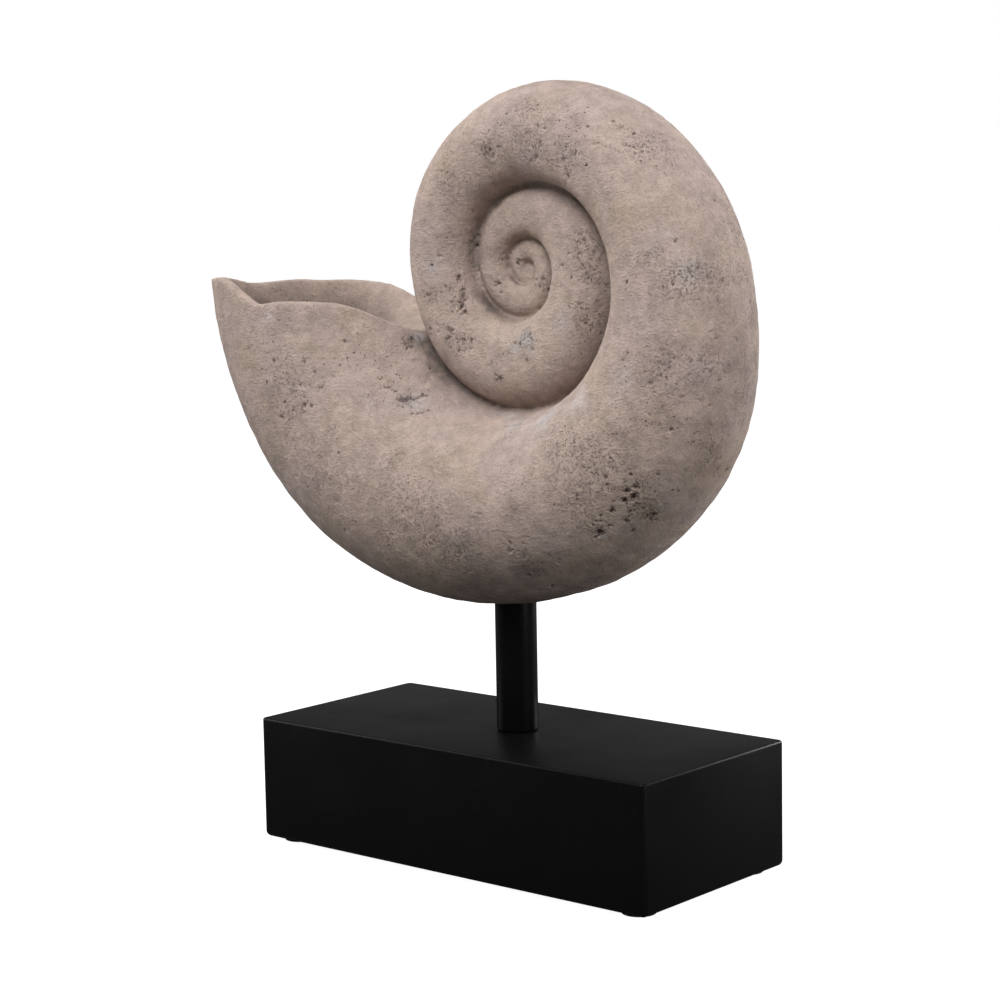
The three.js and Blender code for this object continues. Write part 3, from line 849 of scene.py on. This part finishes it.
def makeScrew():
    shape = screwShape
    low, high = nodeBox["fixing_screw"]
    middle = (low + high) / 2
    headTop = low.z + shape["headHeight"] * mm
    screw = startPiece(bpy.ops.mesh.primitive_cylinder_add, "socket_screw", vertices=60,
                       radius=shape["head"] / 2 * mm, depth=headTop - low.z,
                       location=(middle.x, middle.y, (low.z + headTop) / 2))
    applyPlace(screw)
    # the shank, drawn up from the head
    pickParts(screw, "FACE", lambda face: face.normal.z > 0.9)
    bpy.ops.mesh.inset(thickness=(shape["head"] - shape["shank"]) / 2 * mm)
    raiseFaces(high.z - headTop)
    closeEdit()
    bevelEdges(screw, shape["tipEdge"], 2, lambda a, b: min(a.z, b.z) > high.z - 0.1 * mm)
    bevelEdges(screw, shape["headEdge"], 4, lambda a, b: max(a.z, b.z) < low.z + 0.1 * mm)
    key = startPiece(bpy.ops.mesh.primitive_cylinder_add, "hex key", vertices=6,
                     radius=shape["key"] * mm / math.sqrt(3), depth=2 * shape["keyDepth"] * mm,
                     location=(middle.x, middle.y, low.z))
    applyPlace(key)
    cutAway(screw, key)
    finishPiece(screw, "fixing_screw", zincPlate("screw plate"))


padShape = {"edge": 0.5, "dish": 0.25, "dishRim": 1.6, "dishEdge": 0.3}


# one pad is modelled, then copied to the other corners
def makePads():
    low, high = nodeBox["foot_pad_1"]
    middle = (low + high) / 2
    radius = (high.x - low.x) / 2
    pad = startPiece(bpy.ops.mesh.primitive_cylinder_add, "pad_1", radius=radius,
                     depth=high.z - low.z, vertices=64, location=middle)
    applyPlace(pad)
    bevelEdges(pad, padShape["edge"], 3, lambda a, b: max(a.z, b.z) < low.z + 0.1 * mm)
    pickParts(pad, "FACE", lambda face: face.normal.z < -0.99)
    bpy.ops.mesh.inset(thickness=padShape["dishRim"] * mm)
    bpy.ops.mesh.inset(thickness=padShape["dishEdge"] * mm, depth=-padShape["dish"] * mm)
    closeEdit()
    rubber = padRubber()
    for number in (2, 3, 4):
        other = pad.copy()
        other.data = pad.data.copy()
        other.name = other.data.name = f"pad_{number}"
        bpy.context.scene.collection.objects.link(other)
        openEdit(other)
        bpy.ops.mesh.select_all(action="SELECT")
        bpy.ops.transform.translate(value=middleOf(f"foot_pad_{number}") - middle)
        closeEdit()
        finishPiece(other, f"foot_pad_{number}", rubber)
    finishPiece(pad, "foot_pad_1", rubber)
    print("stand made")


def newFinish(name, color, roughness, specular=0.5):
    material = bpy.data.materials.new(name)
    material.use_nodes = True
    shader = material.node_tree.nodes["Principled BSDF"]
    shader.inputs["Base Color"].default_value = (*color, 1)
    shader.inputs["Roughness"].default_value = roughness
    shader.inputs["Specular IOR Level"].default_value = specular
    return material


def addNode(material, kind, links=None, **settings):
    tree = material.node_tree
    node = tree.nodes.new(kind)
    for key, value in settings.items():
        if hasattr(node, key):
            setattr(node, key, value)
        else:
            node.inputs[key.replace("_", " ")].default_value = value
    for name, source in (links or {}).items():
        tree.links.new(source, node.inputs[name])
    return node


def objectPlace(material):
    return addNode(material, "ShaderNodeTexCoord").outputs["Object"]


def addNoise(material, place, scale, detail=4, roughness=0.55, distortion=0):
    node = addNode(material, "ShaderNodeTexNoise", {"Vector": place}, Scale=scale, Detail=detail,
                   Roughness=roughness, Distortion=distortion)
    return node.outputs["Fac"]


def addRange(material, value, fromLow, fromHigh, toLow=0.0, toHigh=1.0):
    node = addNode(material, "ShaderNodeMapRange", {"Value": value}, interpolation_type="SMOOTHSTEP")
    ends = {"From Min": fromLow, "From Max": fromHigh, "To Min": toLow, "To Max": toHigh}
    for name, number in ends.items():
        node.inputs[name].default_value = number
    return node.outputs["Result"]


def addMath(material, operation, first, second):
    node = addNode(material, "ShaderNodeMath", operation=operation)
    for i, value in enumerate((first, second)):
        if isinstance(value, (int, float)):
            node.inputs[i].default_value = value
        else:
            material.node_tree.links.new(value, node.inputs[i])
    return node.outputs[0]


def addMix(material, amount, first, second, blend="MIX"):
    node = addNode(material, "ShaderNodeMix", data_type="RGBA", blend_type=blend)
    sockets = (node.inputs[0], node.inputs[6], node.inputs[7])
    for socket, value in zip(sockets, (amount, first, second)):
        if isinstance(value, (int, float)):
            socket.default_value = value
        elif isinstance(value, tuple):
            socket.default_value = (*value, 1)
        else:
            material.node_tree.links.new(value, socket)
    return node.outputs[2]


def addBump(material, height, distance, strength=1.0, under=None):
    links = {"Height": height}
    if under:
        links["Normal"] = under
    node = addNode(material, "ShaderNodeBump", links, Distance=distance, Strength=strength)
    return node.outputs["Normal"]


def joinShader(material, **sources):
    shader = material.node_tree.nodes["Principled BSDF"]
    for name, source in sources.items():
        material.node_tree.links.new(source, shader.inputs[name.replace("_", " ")])


stoneFinish = {
    "warm": (0.525, 0.41, 0.348),
    "lilac": (0.485, 0.384, 0.362),
    "tan": (0.45, 0.345, 0.255),
    "chalk": (0.62, 0.57, 0.56),
    # the colour laid on for grime and for painted shade in the seams, the mouth and under the shell
    "grimeAndShade": (0.085, 0.066, 0.06),
    # the colour of the holes: painted shade with some dirt
    "pit": (0.055, 0.04, 0.035),
    "pinholes": ((230, 0.15), (430, 0.2), (760, 0.2)),  # how close they stand, and their size
}


# the amount of something painted into the shell's skin
def painted(stone, name):
    return addNode(stone, "ShaderNodeAttribute", attribute_name=name).outputs["Fac"]


# lilac, tan and chalk, each in clouds of its own and where it is painted
def stoneClouds(stone, place):
    colors = stoneFinish
    cloud = addRange(stone, addNoise(stone, place, 16, 5, 0.6), 0.42, 0.66, 0, 0.6)
    tanCloud = addRange(stone, addNoise(stone, place, 34, 5, 0.62), 0.52, 0.72, 0, 0.55)
    smear = addRange(stone, addNoise(stone, place, 48, 7, 0.7), 0.6, 0.76, 0, 0.5)
    color = colors["warm"]
    for name, amount in (("lilac", cloud), ("tan", tanCloud), ("chalk", smear)):
        amount = addMath(stone, "MAXIMUM", amount, painted(stone, name))
        color = addMix(stone, amount, color, colors[name])
    return color


# lightens and darkens the stone with its sandy grain, its wrinkles and broad patches
def stoneShades(stone, place, color, grain, wrinkles):
    grey = addRange(stone, grain, 0.3, 0.7, 0.9, 1.08)
    streaky = addRange(stone, wrinkles, 0.3, 0.7, 0.92, 1.05)
    patchy = addRange(stone, addNoise(stone, place, 110, 7, 0.75), 0.3, 0.7, 0.8, 1.14)
    shade = addNode(stone, "ShaderNodeCombineColor")
    both = addMath(stone, "MULTIPLY", addMath(stone, "MULTIPLY", grey, streaky), patchy)
    for i in range(3):
        stone.node_tree.links.new(both, shade.inputs[i])
    return addMix(stone, 1.0, color, shade.outputs[0], "MULTIPLY")


# ragged pinholes, gathered in swarms
def stonePinholes(stone, place):
    worn = painted(stone, "worn")
    thin = addRange(stone, addNoise(stone, place, 40, 4, 0.6), 0.42, 0.66, 0, 0.9)
    swarm = addMath(stone, "MAXIMUM", worn, thin)
    sway = addNode(stone, "ShaderNodeTexNoise", {"Vector": place}, Scale=420, Detail=3)
    warped = addNode(stone, "ShaderNodeMixRGB", {"Color1": place, "Color2": sway.outputs["Color"]},
                     Fac=0.0022)
    eaten = addRange(stone, addNoise(stone, place, 820, 4, 0.7, 0.7), 0.54, 0.64)
    holes = addMath(stone, "MULTIPLY", eaten, worn)
    for scale, size in stoneFinish["pinholes"]:
        cells = addNode(stone, "ShaderNodeTexVoronoi", {"Vector": warped.outputs[0]}, Scale=scale,
                        Randomness=1.0)
        room = addMath(stone, "MULTIPLY", swarm, size)
        hole = addRange(stone, addMath(stone, "SUBTRACT", room, cells.outputs["Distance"]), 0, 0.07)
        holes = addMath(stone, "MAXIMUM", holes, hole)
    return holes


# darkens the holes with painted shade and some dirt, and lays painted shade in the mouth, painted shade
# and dirt in the seams, and grime with painted shade where it is painted
def stoneDirtAndShade(stone, place, color, holes):
    # painted shade in the pits and pinholes, with some dirt
    dark = addMath(stone, "MAXIMUM", addMath(stone, "MULTIPLY", holes, 0.68),
                   addMath(stone, "MULTIPLY", painted(stone, "pit"), 0.62))
    color = addMix(stone, dark, color, stoneFinish["pit"])
    # painted shade in the seams and the mouth, with some dirt in the seams
    shadeAndSeamDirt = addMath(stone, "MAXIMUM", painted(stone, "seam"),
                   addMath(stone, "MULTIPLY", painted(stone, "hollow"), 0.75))
    dirtAndShadeAmount = addMath(stone, "MULTIPLY", addMath(stone, "MAXIMUM", painted(stone, "grimeAndShade"), shadeAndSeamDirt),
                   addRange(stone, addNoise(stone, place, 70, 6, 0.7), 0.25, 0.6, 0.45, 1))
    return addMix(stone, dirtAndShadeAmount, color, stoneFinish["grimeAndShade"])


def castStone():
    stone = newFinish("cast stone", stoneFinish["warm"], 0.88, 0.25)
    place = objectPlace(stone)
    grain = addNoise(stone, place, 1300, 3, 0.65)
    # short wrinkles left by the brush
    brushed = addNode(stone, "ShaderNodeMapping", {"Vector": place}, Rotation=(0, 0.3, 0),
                      Scale=(0.4, 1, 1))
    wrinkles = addNoise(stone, brushed.outputs["Vector"], 560, 3, 0.6, 1.5)
    color = stoneShades(stone, place, stoneClouds(stone, place), grain, wrinkles)
    holes = stonePinholes(stone, place)
    color = stoneDirtAndShade(stone, place, color, holes)
    normal = addBump(stone, addNoise(stone, place, 220, 7, 0.72), 0.0013)
    normal = addBump(stone, wrinkles, 0.00045, 1, normal)
    normal = addBump(stone, grain, 0.00022, 1, normal)
    normal = addBump(stone, addMath(stone, "SUBTRACT", 1, holes), 0.0007, 1, normal)
    joinShader(stone, Base_Color=color, Normal=normal)
    return stone


def zincPlate(name):
    zinc = newFinish(name, (0.55, 0.56, 0.58), 0.32)
    zinc.node_tree.nodes["Principled BSDF"].inputs["Metallic"].default_value = 1
    place = objectPlace(zinc)
    bloom = addRange(zinc, addNoise(zinc, place, 220, 4, 0.6), 0.35, 0.7)
    color = addMix(zinc, bloom, (0.56, 0.57, 0.59), (0.42, 0.43, 0.44))
    dull = addRange(zinc, addNoise(zinc, place, 500, 5, 0.6), 0.3, 0.7, 0.25, 0.45)
    joinShader(zinc, Base_Color=color, Roughness=dull,
               Normal=addBump(zinc, addNoise(zinc, place, 1500, 2, 0.5), 0.00003))
    return zinc


def padRubber():
    rubber = newFinish("pad rubber", (0.03, 0.03, 0.032), 0.75, 0.3)
    place = objectPlace(rubber)
    dust = addRange(rubber, addNoise(rubber, place, 400, 5, 0.65), 0.45, 0.8)
    color = addMix(rubber, dust, (0.028, 0.028, 0.03), (0.075, 0.073, 0.07))
    joinShader(rubber, Base_Color=color,
               Normal=addBump(rubber, addNoise(rubber, place, 1800, 2, 0.5), 0.00005))
    return rubber


blackFinish = {
    "paint": (0.0032, 0.0032, 0.0034),
    "dust": (0.008, 0.0078, 0.0085),
    "speck": (0.02, 0.02, 0.02),
}


def blackPaint(name, roughness):
    paint = newFinish(name, blackFinish["paint"], roughness, 0.1)
    place = objectPlace(paint)
    dust = addRange(paint, addNoise(paint, place, 30, 6, 0.7), 0.5, 0.85)
    speck = addRange(paint, addNoise(paint, place, 900, 2, 0.5), 0.68, 0.74)
    color = addMix(paint, addMath(paint, "MULTIPLY", dust, 0.35), blackFinish["paint"],
                   blackFinish["dust"])
    color = addMix(paint, addMath(paint, "MULTIPLY", speck, 0.4), color, blackFinish["speck"])
    sheen = addRange(paint, addNoise(paint, place, 12, 5, 0.6), 0.3, 0.7, roughness - 0.05,
                     roughness + 0.07)
    normal = addBump(paint, addNoise(paint, place, 700, 3, 0.5), 0.00005)
    joinShader(paint, Base_Color=color, Roughness=sheen, Normal=normal)
    return paint


studio = {
    "surround": (1.0, 1.0, 1.0),
    "surroundSeen": 1.0,
    "surroundLight": 0.15,
    "floor": (0.3, 0.3, 0.3),
    "floorGlow": (0.97, 0.97, 0.975),
    "floorBounce": (0.13, 0.13, 0.13),
    # soft lights: name, width, watts, place, what it is aimed at
    "lights": [
        ("top", 1.5, 5, (0.05, -0.1, 1.75), (0, 0, 0.2)),
        ("front", 0.9, 22, (0.34, -1.1, 1.42), (0, 0, 0.2)),
        ("left side", 1.0, 9, (-1.35, -0.45, 0.62), (0, 0, 0.22)),
        ("left high", 0.4, 2.5, (-0.95, -0.3, 1.15), (0, 0, 0.1)),
        ("right side", 0.8, 5.5, (1.35, 0.15, 0.38), (0, 0, 0.22)),
        ("right behind", 0.8, 15, (0.4, 1.35, 0.45), (0, 0, 0.22)),
    ],
}


def seenByCamera(tree):
    return tree.nodes.new("ShaderNodeLightPath").outputs["Is Camera Ray"]


def addStage():
    floor = startPiece(bpy.ops.mesh.primitive_plane_add, "floor", size=12,
                       location=(0, 0, cadBox[0][2]))
    finish = newFinish("pale floor", studio["floorBounce"], 0.9, 0.0)
    # the floor is seen pale, and throws little light back up at the piece
    seen = seenByCamera(finish.node_tree)
    joinShader(finish, Base_Color=addMix(finish, seen, studio["floorBounce"], studio["floor"]),
               Emission_Color=addMix(finish, seen, (0, 0, 0), studio["floorGlow"]))
    finish.node_tree.nodes["Principled BSDF"].inputs["Emission Strength"].default_value = 1
    floor.data.materials.append(finish)


def addLight(name, size, energy, place, target):
    data = bpy.data.lights.new(name, "AREA")
    data.shape = "DISK"
    data.size = size
    data.energy = energy
    light = bpy.data.objects.new(name, data)
    bpy.context.scene.collection.objects.link(light)
    light.location = place
    light.rotation_euler = (Vector(target) - Vector(place)).to_track_quat("-Z", "Y").to_euler()


def addStudio():
    bpy.context.scene.view_settings.view_transform = "Standard"
    world = bpy.data.worlds.new("studio")
    world.use_nodes = True
    tree = world.node_tree
    background = tree.nodes["Background"]
    background.inputs["Color"].default_value = (*studio["surround"], 1)
    # the surround is seen paler than it lights the piece
    strength = tree.nodes.new("ShaderNodeMapRange")
    strength.inputs["To Min"].default_value = studio["surroundLight"]
    strength.inputs["To Max"].default_value = studio["surroundSeen"]
    tree.links.new(seenByCamera(tree), strength.inputs["Value"])
    tree.links.new(strength.outputs["Result"], background.inputs["Strength"])
    bpy.context.scene.world = world
    for light in studio["lights"]:
        addLight(*light)
    print("stage lit")


addCamera()
addStage()
addStudio()
makeShell()
makeBlock()
makeRod()
makeWasher()
makeScrew()
makePads()
